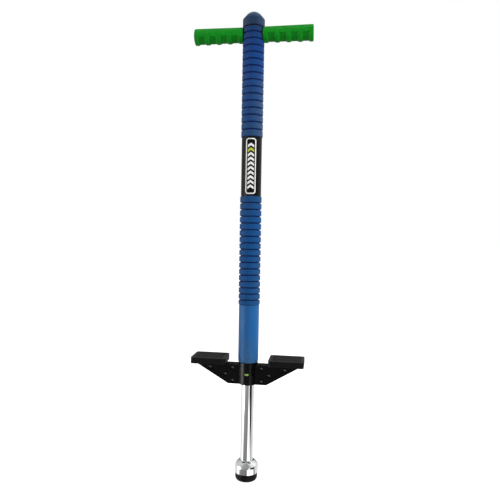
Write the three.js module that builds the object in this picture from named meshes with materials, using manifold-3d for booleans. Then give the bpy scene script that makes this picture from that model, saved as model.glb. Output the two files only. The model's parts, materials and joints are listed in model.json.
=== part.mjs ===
// Pogo stick: a sprung plunger in a foam-covered steel tube, with a crossbar and bolted footrests.
// Millimetres, +Z up. The origin is the centre of the foot's sole, +X runs along the handlebar,
// and -Y is the front.
import * as THREE from 'three';
import { mergeVertices } from 'three/addons/utils/BufferGeometryUtils.js';
import Module from 'manifold-3d';

const wasm = await Module();
wasm.setup();

// ---- driving dimensions -------------------------------------------------------------------

const SIDES = 28;                 // facets of every large round piece, so that coaxial pieces nest
const SMALL_SIDES = 8;            // facets of screws, bosses and screw holes
const GAP = 0.3;                  // clearance between pieces that touch
const FAR = 300;                  // how far a cutter runs that only has to clear the piece

// Frame tube and the sleeves around it
const TUBE_R = 15.9;
const TUBE_BORE_R = 14.4;
const TUBE_BOTTOM = 194.8;
const TUBE_TOP = 917.8;
const SLEEVE_BORE_R = 16.1;
const HUB_BOTTOM = 193.9;
const HUB_TOP = 237.7;
const HUB_R = 19.5;
const SMOOTH_SLEEVE_R = 20.4;
const SMOOTH_SLEEVE_TOP = 354.2;
const LOWER_FOAM_R = 21.6;
const LOWER_FOAM_TOP = 570.5;
const LABEL_CORE_R = 19.8;
const LABEL_WRAP_R = 20.2;
const LABEL_TOP = 688.1;
const UPPER_FOAM_R = 21.6;
const UPPER_FOAM_TOP = 904.4;
const CAP_R = 22;
const CAP_SHOULDER = 921.5;
const CAP_DOME = { r: 14.5, z: 930.5 };   // where the cap's chamfer turns into its dome
const CAP_TOP = 937.2;

// Crossbar and grips
const BAR_Z = 892.2;
const BAR_R = 11;
const BAR_BORE_R = 9.5;
const BAR_HALF = 115.5;
const GRIP_START = 19.9;
const GRIP_END = 118.8;
const GRIP_R = 15.2;
const GRIP_FLARE_R = 15.9;
const GRIP_POCKET_R = 16.5;       // flats on the foam and the cap, beside the ends of the grips
const GRIP_POCKET_START = 18.6;

// Footrests
const WEB_HALF = 12;              // half thickness of the bolted web, front to back
const WEB_BOTTOM = 195;
const WEB_TOP = 233.2;
const WEB_KNEE = 38.5;            // where the lower edge turns up towards the toe
const WEB_TOE = { x: 103, z: 232.5 };
const SHELL_WALL = 3;
const PLATFORM = { x0: 46.4, x1: 109.6, half: 25.2, z0: 239.2, z1: 243.8 };
const TREAD = { x0: 42.8, x1: 112.8, half: 28.5, z0: 235.4, z1: 247.4, corner: 5 };
const TREAD_WALL = 3;
const PLATE_HALF = 1.5;           // half thickness of the steel gusset inside each web
const PLATE_INSET = 3.6;
const SCREW_PLACES = [
  { x: 29, z: 227.6 },
  { x: 29, z: 201.7 },
  { x: 44, z: 214.2 },
  { x: 75.5, z: 226.8 },
];
const SCREW_R = 2.4;
const SCREW_HEAD_R = 4.2;
const SCREW_TIP_Y = 11.8;
const HEAD_RECESS = 3;
const BOSS_R = 5.6;

// Plunger: shaft, piston, foot
const SHAFT_R = 13;
const SHAFT_BORE_R = 11.4;
const SHAFT_BOTTOM = 28.8;
const SHAFT_TOP = 288;
const PISTON_R = 14.1;
const PISTON_BOTTOM = 256.5;
const PISTON_TOP = 292;
const PISTON_PIN_R = 2;
const PISTON_PIN_Z = 272;
const CUP_R = 23.75;
const CUP_BOTTOM = 15.4;
const CUP_BAND_TOP = 27;
const CUP_DOME_RISE = 16;         // height of the dome if it closed at the middle
const CUP_COLLAR_R = 14.2;
const CUP_CEILING = 28.5;
const TIP_R = 22.5;
const SOLE_R = 18.6;
const SOLE_RECESS_R = 10.6;
const SOLE_RECESS_TOP = 10.4;
const TIP_HOLE_R = 3.3;
const TIP_SCREW = { bottom: 4.4, headTop: 8.3, top: 38, headR: 5.2, r: 2.9 };

// Spring and its seats
const BUSH_TOP = 246.3;
const BUSH_BORE_R = 13.1;
const KEY = { halfX: 3.7, z0: 214.3, z1: 217.3, y0: -19.4, y1: -13.4 };
const WIRE_R = 1.9;
const COIL_R = 11.6;
const COIL_TURNS = 26;
const SPRING_BOTTOM = 295.7;
const SPRING_TOP = 558.1;
const SPIGOT_R = 8.8;             // the spigots that centre the spring at both ends
const STOP_PIN_R = 3;
const STOP_PIN_Z = 567.7;
const STOP_PIN_HALF = 15.3;

// ---- materials ----------------------------------------------------------------------------

function finish(color, roughness, metalness = 0) {
  return { color, roughness, metalness };
}

const BLACK_PAINT = finish(0x17181a, 0.4, 0.1);
const BLACK_PLASTIC = finish(0x1b1c1e, 0.55);
const TREAD_PLASTIC = finish(0x2b2d30, 0.75);
const FOAM = finish(0x1f4a86, 0.9);
const SLEEVE_PLASTIC = finish(0x2c62a0, 0.5);
const CAP_PLASTIC = finish(0x2c4262, 0.5);
const GRIP_RUBBER = finish(0x1f8a2c, 0.6);
const LABEL_FILM = finish(0x141517, 0.35);
const KEY_PLASTIC = finish(0x93b84e, 0.5);
const NYLON = finish(0xd8d6cc, 0.5);
const CHROME = finish(0xe4e6e8, 0.08, 1);
const ZINC = finish(0xa8abae, 0.35, 1);
const BLACK_OXIDE = finish(0x3a3b3d, 0.4, 1);
const SPRING_STEEL = finish(0x6d7074, 0.35, 1);
const RUBBER = finish(0x141414, 0.85);

// ---- geometry helpers ---------------------------------------------------------------------

function toSolid(geometry) {
  const plain = geometry.clone();
  plain.deleteAttribute('normal');
  plain.deleteAttribute('uv');
  const merged = mergeVertices(plain, 1e-4);
  const mesh = new wasm.Mesh({
    numProp: 3,
    vertProperties: new Float32Array(merged.attributes.position.array),
    triVerts: new Uint32Array(merged.index.array),
  });
  return new wasm.Manifold(mesh);
}

function toGeometry(solid) {
  const mesh = solid.getMesh();
  const geometry = new THREE.BufferGeometry();
  geometry.setAttribute('position', new THREE.BufferAttribute(mesh.vertProperties, 3));
  geometry.setIndex(new THREE.BufferAttribute(mesh.triVerts, 1));
  geometry.computeVertexNormals();
  return geometry;
}

function cut(body, cutters) {
  let solid = toSolid(body);
  for (const cutter of cutters) {
    solid = solid.subtract(toSolid(cutter));
  }
  return toGeometry(solid);
}

// A round piece about Z from its [radius, height] outline, listed anticlockwise.
function turned(outline, sides = SIDES) {
  const points = outline.map(([r, z]) => new THREE.Vector2(r, z));
  const geometry = new THREE.LatheGeometry(points, sides);
  geometry.rotateX(Math.PI / 2);
  return geometry;
}

function ring(outerR, innerR, z0, z1, sides = SIDES) {
  return turned([[outerR, z0], [outerR, z1], [innerR, z1], [innerR, z0], [outerR, z0]], sides);
}

function disc(r, z0, z1, sides = SIDES) {
  return turned([[0, z0], [r, z0], [r, z1], [0, z1]], sides);
}

function box(x0, x1, y0, y1, z0, z1) {
  const geometry = new THREE.BoxGeometry(x1 - x0, y1 - y0, z1 - z0);
  geometry.translate((x0 + x1) / 2, (y0 + y1) / 2, (z0 + z1) / 2);
  return geometry;
}

// A cylinder along X between x0 and x1.
function barX(r, x0, x1, z, sides = SIDES) {
  const geometry = new THREE.CylinderGeometry(r, r, x1 - x0, sides);
  geometry.rotateZ(Math.PI / 2);
  geometry.translate((x0 + x1) / 2, 0, z);
  return geometry;
}

// A cylinder along Y between y0 and y1.
function barY(r, x, y0, y1, z, sides = SMALL_SIDES) {
  const geometry = new THREE.CylinderGeometry(r, r, y1 - y0, sides);
  geometry.translate(x, (y0 + y1) / 2, z);
  return geometry;
}

// A flat outline of [x, z] corners made solid from y0 to y1.
function slab(outline, y0, y1) {
  const shape = new THREE.Shape(outline.map(([x, z]) => new THREE.Vector2(x, z)));
  const geometry = new THREE.ExtrudeGeometry(shape, { depth: y1 - y0, bevelEnabled: false });
  geometry.rotateX(Math.PI / 2);
  geometry.translate(0, y1, 0);
  return geometry;
}

// The corners of an anticlockwise outline, moved inwards by a distance.
function inset(outline, distance) {
  const count = outline.length;
  return outline.map((corner, i) => {
    const before = outline[(i + count - 1) % count];
    const after = outline[(i + 1) % count];
    const inA = leftNormal(before, corner);
    const inB = leftNormal(corner, after);
    const scale = distance / (1 + inA.dot(inB));
    return [corner[0] + (inA.x + inB.x) * scale, corner[1] + (inA.y + inB.y) * scale];
  });
}

function leftNormal([x0, z0], [x1, z1]) {
  return new THREE.Vector2(z0 - z1, x1 - x0).normalize();
}

const frame = new THREE.Group();
const seat = new THREE.Group();
const plunger = new THREE.Group();

function add(group, name, geometry, look) {
  const mesh = new THREE.Mesh(geometry, new THREE.MeshStandardMaterial(look));
  mesh.name = name;
  group.add(mesh);
}

// ---- frame tube, crossbar and grips -------------------------------------------------------

function keyWindow() {
  const play = 0.2;
  const x = KEY.halfX + play;
  return box(-x, x, -HUB_R - 2, -BUSH_BORE_R + 2, KEY.z0 - play, KEY.z1 + play);
}

function frameTube() {
  const holes = [
    barX(BAR_R + 0.15, -FAR, FAR, BAR_Z),
    barY(STOP_PIN_R + 0.1, 0, -FAR, FAR, STOP_PIN_Z),
    keyWindow(),
  ];
  return cut(ring(TUBE_R, TUBE_BORE_R, TUBE_BOTTOM, TUBE_TOP), holes);
}

function handlebarTube() {
  const geometry = ring(BAR_R, BAR_BORE_R, -BAR_HALF, BAR_HALF);
  geometry.rotateY(Math.PI / 2);
  geometry.translate(0, 0, BAR_Z);
  return geometry;
}

// One grip: a closed sleeve on the crossbar, a little wider towards its outer end.
function grip(side) {
  const bore = BAR_R + 0.15;
  const outline = [
    [bore, GRIP_START],
    [GRIP_R - 0.8, GRIP_START],
    [GRIP_R, GRIP_START + 1.2],
    [GRIP_FLARE_R, GRIP_END - 2],
    [GRIP_FLARE_R - 1.6, GRIP_END],
    [0, GRIP_END],
    [0, BAR_HALF + GAP],
    [bore, BAR_HALF + GAP],
    [bore, GRIP_START],
  ];
  const geometry = turned(outline);
  geometry.rotateY(side * Math.PI / 2);
  geometry.translate(0, 0, BAR_Z);
  return geometry;
}

function gripPockets() {
  const far = CAP_R + 2;
  return [
    barX(GRIP_POCKET_R, GRIP_POCKET_START, far, BAR_Z),
    barX(GRIP_POCKET_R, -far, -GRIP_POCKET_START, BAR_Z),
  ];
}

function topCap() {
  const outline = [
    [0, TUBE_TOP + GAP],
    [SLEEVE_BORE_R, TUBE_TOP + GAP],
    [SLEEVE_BORE_R, UPPER_FOAM_TOP + 0.2],
    [CAP_R, UPPER_FOAM_TOP + 0.2],
    [CAP_R, CAP_SHOULDER],
  ];
  const rise = CAP_TOP - CAP_DOME.z;
  const domeR = (CAP_DOME.r ** 2 + rise ** 2) / (2 * rise);
  const edge = Math.asin(CAP_DOME.r / domeR);
  const steps = 4;
  for (let i = 0; i <= steps; i++) {
    const angle = edge * (1 - i / steps);
    outline.push([domeR * Math.sin(angle), CAP_TOP - domeR * (1 - Math.cos(angle))]);
  }
  return cut(turned(outline), gripPockets());
}

function upperFoam() {
  const body = ring(UPPER_FOAM_R, SLEEVE_BORE_R, LABEL_TOP + GAP, UPPER_FOAM_TOP - 0.1);
  const notch = BAR_R + GAP;
  const slot = box(-FAR, FAR, -notch, notch, BAR_Z, UPPER_FOAM_TOP + 1);
  return cut(body, [barX(notch, -FAR, FAR, BAR_Z), slot, ...gripPockets()]);
}

add(frame, 'frame_tube', frameTube(), BLACK_PAINT);
add(frame, 'handlebar_tube', handlebarTube(), BLACK_PAINT);
add(frame, 'grip_left', grip(-1), GRIP_RUBBER);
add(frame, 'grip_right', grip(1), GRIP_RUBBER);
add(frame, 'top_cap', topCap(), CAP_PLASTIC);

// ---- sleeves on the tube ------------------------------------------------------------------

function sleeve(outerR, z0, z1) {
  return ring(outerR, SLEEVE_BORE_R, z0 + GAP / 2, z1 - GAP / 2);
}

add(frame, 'foam_upper', upperFoam(), FOAM);
add(frame, 'label_sleeve', sleeve(LABEL_CORE_R, LOWER_FOAM_TOP, LABEL_TOP), BLACK_PLASTIC);
add(frame, 'label_wrap', ring(LABEL_WRAP_R, LABEL_CORE_R + 0.1, LOWER_FOAM_TOP + 1, LABEL_TOP - 1),
  LABEL_FILM);
add(frame, 'foam_lower', sleeve(LOWER_FOAM_R, SMOOTH_SLEEVE_TOP, LOWER_FOAM_TOP), FOAM);
add(frame, 'smooth_sleeve', sleeve(SMOOTH_SLEEVE_R, HUB_TOP + 0.3, SMOOTH_SLEEVE_TOP),
  SLEEVE_PLASTIC);

// ---- footrests ----------------------------------------------------------------------------

// The web of one side, from inside the hub wall out to the toe and up to the platform.
function webOutline(startX) {
  return [
    [startX, WEB_BOTTOM],
    [WEB_KNEE, WEB_BOTTOM],
    [WEB_TOE.x, WEB_TOE.z],
    [WEB_TOE.x + 3, PLATFORM.z0 + 1],
    [PLATFORM.x0, PLATFORM.z0 + 1],
    [PLATFORM.x0, WEB_TOP],
    [startX, WEB_TOP],
  ];
}

function mirrored(geometry, side) {
  if (side > 0) {
    return geometry;
  }
  const copy = geometry.clone();
  copy.rotateZ(Math.PI);
  return copy;
}

// The steel gusset that is welded to the tube and clamped between the two shells.
function plateOutline(extra) {
  const outline = inset(webOutline(TUBE_R + 0.15 - PLATE_INSET), PLATE_INSET - extra);
  outline[0][0] = TUBE_R + 0.15 - extra;
  outline[outline.length - 1][0] = TUBE_R + 0.15 - extra;
  return outline;
}

function gusset(side) {
  const plate = slab(plateOutline(0), -PLATE_HALF, PLATE_HALF);
  const holes = SCREW_PLACES.map(({ x, z }) => barY(SCREW_R + 0.3, x, -5, 5, z));
  return mirrored(cut(plate, holes), side);
}

// The hollow inside one web, around its screw bosses.
function webCavity(side) {
  const outline = inset(webOutline(HUB_R - SHELL_WALL), SHELL_WALL);
  let hollow = toSolid(slab(outline, SHELL_WALL - WEB_HALF, WEB_HALF - SHELL_WALL));
  for (const { x, z } of SCREW_PLACES) {
    hollow = hollow.subtract(toSolid(barY(BOSS_R, x, -WEB_HALF, WEB_HALF, z)));
  }
  return mirrored(toGeometry(hollow), side);
}

// What is taken out of one side of the moulding.
function sideCutters(side) {
  const slot = PLATE_HALF + GAP;
  const cutters = [webCavity(side), mirrored(slab(plateOutline(GAP), -slot, slot), side)];
  for (const { x, z } of SCREW_PLACES) {
    cutters.push(barY(SCREW_R + 0.2, side * x, -FAR, FAR, z));
    cutters.push(barY(SCREW_HEAD_R + 0.6, side * x, -FAR, HEAD_RECESS - WEB_HALF, z));
  }
  return cutters;
}

// One moulded half: two webs, two platform halves and half of the hub, open towards y = 0.
// It is drawn as the front half. The rear half is the same moulding turned about Z.
function footrestShell() {
  const { x0, x1, half, z0, z1 } = PLATFORM;
  let solid = toSolid(ring(HUB_R, SLEEVE_BORE_R - 1, HUB_BOTTOM, HUB_TOP));
  for (const side of [1, -1]) {
    const web = slab(webOutline(SLEEVE_BORE_R - 1), -WEB_HALF, WEB_HALF);
    solid = solid.add(toSolid(mirrored(web, side)));
    solid = solid.add(toSolid(mirrored(box(x0, x1, -half, half, z0, z1), side)));
  }
  const bore = disc(SLEEVE_BORE_R, HUB_BOTTOM - 1, HUB_TOP + 1);
  const rearHalf = box(-FAR, FAR, -GAP / 2, FAR, 0, FAR);
  return cut(toGeometry(solid), [...sideCutters(1), ...sideCutters(-1), bore, rearHalf]);
}

function roundedRect(x0, x1, half, corner) {
  const shape = new THREE.Shape();
  shape.moveTo(x0 + corner, -half);
  shape.lineTo(x1 - corner, -half);
  shape.absarc(x1 - corner, -half + corner, corner, -Math.PI / 2, 0);
  shape.lineTo(x1, half - corner);
  shape.absarc(x1 - corner, half - corner, corner, 0, Math.PI / 2);
  shape.lineTo(x0 + corner, half);
  shape.absarc(x0 + corner, half - corner, corner, Math.PI / 2, Math.PI);
  shape.lineTo(x0, -half + corner);
  shape.absarc(x0 + corner, -half + corner, corner, Math.PI, Math.PI * 1.5);
  return shape;
}

// The tread is a moulded lid over the platform: a flat top with a skirt all round.
function tread(side) {
  const { x0, x1, half, z0, z1, corner } = TREAD;
  const outside = new THREE.ExtrudeGeometry(roundedRect(x0, x1, half, corner),
    { depth: z1 - z0, bevelEnabled: false, curveSegments: 4 });
  outside.translate(0, 0, z0);
  const inside = box(x0 + TREAD_WALL, x1 - TREAD_WALL, TREAD_WALL - half, half - TREAD_WALL,
    z0 - 1, PLATFORM.z1 + GAP);
  return mirrored(cut(outside, [inside]), side);
}

// A pan-head screw whose axis is Y, its head recessed in the front shell.
function footrestScrew(x, z) {
  const seating = WEB_HALF - HEAD_RECESS + 0.1;
  const outline = [
    [0, -SCREW_TIP_Y],
    [SCREW_R, -SCREW_TIP_Y],
    [SCREW_R, seating],
    [SCREW_HEAD_R, seating],
    [SCREW_HEAD_R, seating + 1.6],
    [SCREW_HEAD_R - 1.2, seating + 2.4],
    [0, seating + 2.4],
  ];
  const geometry = turned(outline, SMALL_SIDES);
  geometry.rotateX(Math.PI / 2);
  geometry.translate(x, 0, z);
  return geometry;
}

function footrestNut(x, z) {
  const face = WEB_HALF - HEAD_RECESS + 0.1;
  const thickness = 2.6;
  const hexagon = disc(SCREW_HEAD_R + 0.2, face, face + thickness, 6);
  const nut = cut(hexagon, [disc(SCREW_R + 0.15, face - 1, face + thickness + 1, SMALL_SIDES)]);
  nut.rotateX(-Math.PI / 2);
  nut.translate(x, 0, z);
  return nut;
}

const frontShell = cut(footrestShell(), [keyWindow()]);
const rearShell = footrestShell();
rearShell.rotateZ(Math.PI);
add(frame, 'footrest_shell_front', frontShell, BLACK_PLASTIC);
add(frame, 'footrest_shell_rear', rearShell, BLACK_PLASTIC);
for (const [word, side] of [['left', -1], ['right', 1]]) {
  add(frame, `gusset_${word}`, gusset(side), BLACK_PAINT);
  add(frame, `tread_${word}`, tread(side), TREAD_PLASTIC);
  SCREW_PLACES.forEach(({ x, z }, i) => {
    add(frame, `footrest_screw_${word}_${i + 1}`, footrestScrew(side * x, z), BLACK_OXIDE);
    add(frame, `footrest_nut_${word}_${i + 1}`, footrestNut(side * x, z), BLACK_OXIDE);
  });
}

// ---- guide bush, bumper and upper spring seat ---------------------------------------------

function lowerBush() {
  const flangeTop = TUBE_BOTTOM - 0.2;
  const flangeBottom = flangeTop - 1.6;
  const body = turned([
    [BUSH_BORE_R, flangeBottom],
    [TUBE_R - 0.1, flangeBottom],
    [TUBE_R - 0.1, flangeTop],
    [TUBE_BORE_R - 0.1, flangeTop],
    [TUBE_BORE_R - 0.1, BUSH_TOP],
    [BUSH_BORE_R, BUSH_TOP],
    [BUSH_BORE_R, flangeBottom],
  ]);
  return cut(body, [keyWindow()]);
}

function upperSeat() {
  const face = SPRING_TOP + GAP;
  const thickness = 6;
  const spigotLength = 10;
  return turned([
    [0, face - spigotLength],
    [SPIGOT_R, face - spigotLength],
    [SPIGOT_R, face],
    [PISTON_R, face],
    [PISTON_R, face + thickness],
    [0, face + thickness],
  ]);
}

class CoilPath extends THREE.Curve {
  // One closed turn at each end, and evenly pitched turns between them.
  getPoint(t, target = new THREE.Vector3()) {
    const closedPitch = 2 * WIRE_R + GAP;
    const low = SPRING_BOTTOM + WIRE_R;
    const high = SPRING_TOP - WIRE_R;
    const openPitch = (high - low - 2 * closedPitch) / (COIL_TURNS - 2);
    const turn = t * COIL_TURNS;
    const openTurns = Math.min(Math.max(turn - 1, 0), COIL_TURNS - 2);
    const closedTurns = turn - openTurns;
    const angle = turn * 2 * Math.PI;
    const z = low + openTurns * openPitch + closedTurns * closedPitch;
    return target.set(COIL_R * Math.cos(angle), COIL_R * Math.sin(angle), z);
  }
}

function mainSpring() {
  const wireSides = 5;
  const wire = new THREE.Shape();
  for (let i = 0; i < wireSides; i++) {
    const angle = (i / wireSides) * 2 * Math.PI;
    const place = [WIRE_R * Math.cos(angle), WIRE_R * Math.sin(angle)];
    if (i === 0) {
      wire.moveTo(...place);
    } else {
      wire.lineTo(...place);
    }
  }
  const stepsPerTurn = 8;
  return new THREE.ExtrudeGeometry(wire,
    { steps: COIL_TURNS * stepsPerTurn, extrudePath: new CoilPath() });
}

const key = box(-KEY.halfX, KEY.halfX, KEY.y0, KEY.y1, KEY.z0, KEY.z1);
add(frame, 'lower_bush', lowerBush(), BLACK_PLASTIC);
add(frame, 'bush_key', key, KEY_PLASTIC);
add(frame, 'rebound_bumper', ring(PISTON_R, SHAFT_R + 0.3, BUSH_TOP + GAP, PISTON_BOTTOM - GAP),
  RUBBER);
add(frame, 'main_spring', mainSpring(), SPRING_STEEL);
add(frame, 'upper_spring_seat', upperSeat(), NYLON);
add(frame, 'spring_stop_pin', barY(STOP_PIN_R, 0, -STOP_PIN_HALF, STOP_PIN_HALF, STOP_PIN_Z),
  ZINC);

// ---- thrust washer, the lower spring seat -------------------------------------------------

function thrustWasher() {
  const bore = 4;
  const bottom = PISTON_TOP + GAP;
  const face = SPRING_BOTTOM - GAP;
  const spigotTop = face + 7;
  return turned([
    [bore, bottom],
    [PISTON_R, bottom],
    [PISTON_R, face],
    [SPIGOT_R, face],
    [SPIGOT_R, spigotTop],
    [bore, spigotTop],
    [bore, bottom],
  ]);
}

add(seat, 'thrust_washer', thrustWasher(), NYLON);

// ---- plunger ------------------------------------------------------------------------------

function pistonPinHole() {
  return barY(PISTON_PIN_R + 0.1, 0, -FAR, FAR, PISTON_PIN_Z);
}

function shaft() {
  const tube = ring(SHAFT_R, SHAFT_BORE_R, SHAFT_BOTTOM, SHAFT_TOP);
  return cut(tube, [pistonPinHole()]);
}

function piston() {
  const bore = SHAFT_R + 0.1;
  const body = turned([
    [0, SHAFT_TOP + GAP],
    [bore, SHAFT_TOP + GAP],
    [bore, PISTON_BOTTOM],
    [PISTON_R, PISTON_BOTTOM],
    [PISTON_R, PISTON_TOP],
    [0, PISTON_TOP],
  ]);
  return cut(body, [pistonPinHole()]);
}

// A cup with a straight band, a domed shoulder and a collar that takes the shaft.
function footCup() {
  const inside = CUP_R - 1.75;
  const outline = [[inside, CUP_BOTTOM], [CUP_R, CUP_BOTTOM]];
  const collarAngle = Math.acos(CUP_COLLAR_R / CUP_R);
  const steps = 3;
  for (let i = 0; i <= steps; i++) {
    const angle = collarAngle * (i / steps);
    outline.push([CUP_R * Math.cos(angle), CUP_BAND_TOP + CUP_DOME_RISE * Math.sin(angle)]);
  }
  const top = outline[outline.length - 1][1];
  outline.push(
    [SHAFT_R + 0.1, top],
    [SHAFT_R + 0.1, CUP_CEILING],
    [inside, CUP_CEILING],
    [inside, CUP_BOTTOM],
  );
  return turned(outline);
}

function rubberTip() {
  const plug = CUP_R - 2.05;
  return turned([
    [SOLE_RECESS_R, 0],
    [SOLE_R, 0],
    [SOLE_R + 2.3, 1.6],
    [TIP_R - 0.3, 4.8],
    [TIP_R, 9],
    [TIP_R, CUP_BOTTOM - GAP],
    [plug, CUP_BOTTOM - GAP],
    [plug, CUP_CEILING - GAP],
    [TIP_HOLE_R, CUP_CEILING - GAP],
    [TIP_HOLE_R, SOLE_RECESS_TOP],
    [SOLE_RECESS_R, SOLE_RECESS_TOP],
    [SOLE_RECESS_R, 0],
  ]);
}

function tipScrew() {
  const { bottom, headTop, top, headR, r } = TIP_SCREW;
  return turned([[0, bottom], [headR, bottom], [headR, headTop], [r, headTop], [r, top], [0, top]],
    SMALL_SIDES);
}

// The threaded plug in the lower end of the shaft, which the foot's screw goes into.
function shaftPlug() {
  const bottom = SHAFT_BOTTOM + 0.2;
  const height = 13;
  return ring(SHAFT_BORE_R - 0.1, TIP_SCREW.r + 0.2, bottom, bottom + height);
}

const tipWasher = ring(SOLE_RECESS_R - GAP, TIP_HOLE_R, TIP_SCREW.headTop + GAP, SOLE_RECESS_TOP - GAP);
const pinHalf = PISTON_R - 0.2;
add(plunger, 'shaft', shaft(), CHROME);
add(plunger, 'piston', piston(), NYLON);
add(plunger, 'piston_pin', barY(PISTON_PIN_R, 0, -pinHalf, pinHalf, PISTON_PIN_Z), ZINC);
add(plunger, 'shaft_plug', shaftPlug(), ZINC);
add(plunger, 'foot_cup', footCup(), CHROME);
add(plunger, 'rubber_tip', rubberTip(), RUBBER);
add(plunger, 'tip_washer', tipWasher, ZINC);
add(plunger, 'tip_screw', tipScrew(), ZINC);

const group = new THREE.Group();
group.add(frame, seat, plunger);

export default group;
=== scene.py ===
"""Pogo stick: the fine surfaces, materials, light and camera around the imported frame.

Lengths are millimetres, in the frame's own axes, and become metres where a mesh is made. Places come
from the boxes of the frame's nodes, and each piece stands for the node that it is named after.
"""
import json
import math

import bmesh
import bpy
from mathutils import Matrix, Vector


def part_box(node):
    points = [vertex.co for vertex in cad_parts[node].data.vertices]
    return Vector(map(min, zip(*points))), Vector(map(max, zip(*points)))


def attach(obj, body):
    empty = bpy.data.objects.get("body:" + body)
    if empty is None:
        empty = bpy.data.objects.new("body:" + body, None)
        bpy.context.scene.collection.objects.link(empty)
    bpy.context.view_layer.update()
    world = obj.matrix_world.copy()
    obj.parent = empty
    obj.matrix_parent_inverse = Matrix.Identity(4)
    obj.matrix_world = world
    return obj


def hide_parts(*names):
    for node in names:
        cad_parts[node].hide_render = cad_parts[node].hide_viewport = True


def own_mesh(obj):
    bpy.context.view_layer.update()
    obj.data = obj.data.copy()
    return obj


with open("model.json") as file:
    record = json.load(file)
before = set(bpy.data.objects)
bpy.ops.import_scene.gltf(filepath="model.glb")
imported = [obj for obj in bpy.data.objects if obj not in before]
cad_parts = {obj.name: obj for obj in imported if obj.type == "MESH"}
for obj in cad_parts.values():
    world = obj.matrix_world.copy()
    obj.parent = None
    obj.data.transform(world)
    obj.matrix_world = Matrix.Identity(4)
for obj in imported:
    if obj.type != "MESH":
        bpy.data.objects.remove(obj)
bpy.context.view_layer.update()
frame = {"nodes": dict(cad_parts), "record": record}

MM = 0.001
SEGMENTS = 112  # sides of every large round piece
SMALL_SEGMENTS = 32  # sides of pins, screws and holes
ARC_STEP = math.radians(18)  # how finely a rounded corner is divided
SHARP = math.radians(32)  # edges sharper than this stay hard
LARGE_EDGE = 2  # a rounded edge of a prism that takes twice the steps
OVERSHOOT = 2  # how far a cutter runs past what it cuts

RECORD = frame["record"]
BODY_OF = {n: body for body, nodes in RECORD["behaviour"]["bodies"].items() for n in nodes}
SIDES = (("left", -1), ("right", 1))


# ---- the frame's boxes -----------------------

class Box:
    """The box of a frame node at rest, in millimetres. A round node's radius is r."""

    def __init__(self, node):
        low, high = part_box(node)
        self.x0, self.y0, self.z0 = (value / MM for value in low)
        self.x1, self.y1, self.z1 = (value / MM for value in high)
        self.r = self.x1
        self.middle_z = (self.z0 + self.z1) / 2


TUBE = Box("frame_tube")
BAR = Box("handlebar_tube")
BAR_Z = BAR.middle_z
BAR_R = (BAR.z1 - BAR.z0) / 2
TUBE_BORE_R = TUBE.r - 1.5
BAR_BORE_R = BAR_R - 1.5
SLEEVE_BORE_R = TUBE.r + 0.2  # bore of everything that is pushed over the tube
POCKET_START = Box("grip_right").x0 - 1.3
POCKET_R = 16.5  # flats beside the grips, in the foam and in the cap
DRIVE_DEPTH = 1.4  # of the cross in the footrest screws' heads
ALONG_BAR = {"axis": "X", "at": (0, 0, BAR_Z)}


# ---- outlines --------------------------------

def rounded(corners, closed=True):
    """Turns corners of (u, v, radius) into a list of points, with an arc at each corner."""
    points = []
    last = len(corners) - 1
    for i, (u, v, radius) in enumerate(corners):
        here = Vector((u, v))
        if radius == 0 or (not closed and i in (0, last)):
            points.append((u, v))
            continue
        back = Vector(corners[i - 1][:2]) - here
        ahead = Vector(corners[(i + 1) % len(corners)][:2]) - here
        half = back.angle(ahead) / 2
        reach = min(radius / math.tan(half), 0.49 * back.length, 0.49 * ahead.length)
        arc_r = reach * math.tan(half)
        centre = here + (back.normalized() + ahead.normalized()).normalized() * (arc_r / math.sin(half))
        spoke = here + back.normalized() * reach - centre
        sweep = math.pi - 2 * half
        turn = 1 if back.cross(ahead) < 0 else -1
        steps = max(2, math.ceil(sweep / ARC_STEP))
        for step in range(steps + 1):
            angle = turn * sweep * step / steps
            points.append(tuple(centre + Matrix.Rotation(angle, 2) @ spoke))
    return points


def inset(corners, distance):
    """The corners of an anticlockwise outline, moved inwards."""
    moved = []
    for i, corner in enumerate(corners):
        here, before = Vector(corner), Vector(corners[i - 1])
        after = Vector(corners[(i + 1) % len(corners)])
        way_in = (here - before).orthogonal().normalized()
        way_out = (after - here).orthogonal().normalized()
        moved.append(tuple(here + (way_in + way_out) * (distance / (1 + way_in.dot(way_out)))))
    return moved


def rectangle(u0, u1, v0, v1, radius=0):
    return rounded([(u0, v0, radius), (u1, v0, radius), (u1, v1, radius), (u0, v1, radius)])


def capsule(length, width, slope, centre):
    """A slot's outline with round ends, at a slope in degrees about its centre."""
    half, r = length / 2, width / 2
    turn = Matrix.Rotation(math.radians(slope), 2)
    return [tuple(turn @ Vector(p) + Vector(centre)) for p in rectangle(-half, half, -r, r, r)]


def dome(r, rise, base, start, end, steps):
    """Points along a dome of half width r above its base, after one angle and up to another."""
    angles = [start + (end - start) * step / steps for step in range(1, steps + 1)]
    return [(r * math.cos(angle), base + rise * math.sin(angle)) for angle in angles]


def hexagon(radius, u=0, v=0):
    corners = [math.radians(60 * i) for i in range(6)]
    return [(u + radius * math.cos(a), v + radius * math.sin(a)) for a in corners]


# ---- solids ----------------------------------

AXIS_TURNS = {
    "X": Matrix.Rotation(math.pi / 2, 3, "Y"),
    "-X": Matrix.Rotation(-math.pi / 2, 3, "Y"),
    "Y": Matrix.Rotation(-math.pi / 2, 3, "X"),
    "Z": Matrix.Identity(3),
}


def placed(name, data):
    """A new object in the scene."""
    obj = bpy.data.objects.new(name, data)
    bpy.context.scene.collection.objects.link(obj)
    return obj


def to_object(bm):
    """Turns a bmesh into an object, which gets its own name when it is finished."""
    bmesh.ops.recalc_face_normals(bm, faces=bm.faces)
    mesh = bpy.data.meshes.new("work")
    bm.to_mesh(mesh)
    bm.free()
    return placed("work", mesh)


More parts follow.
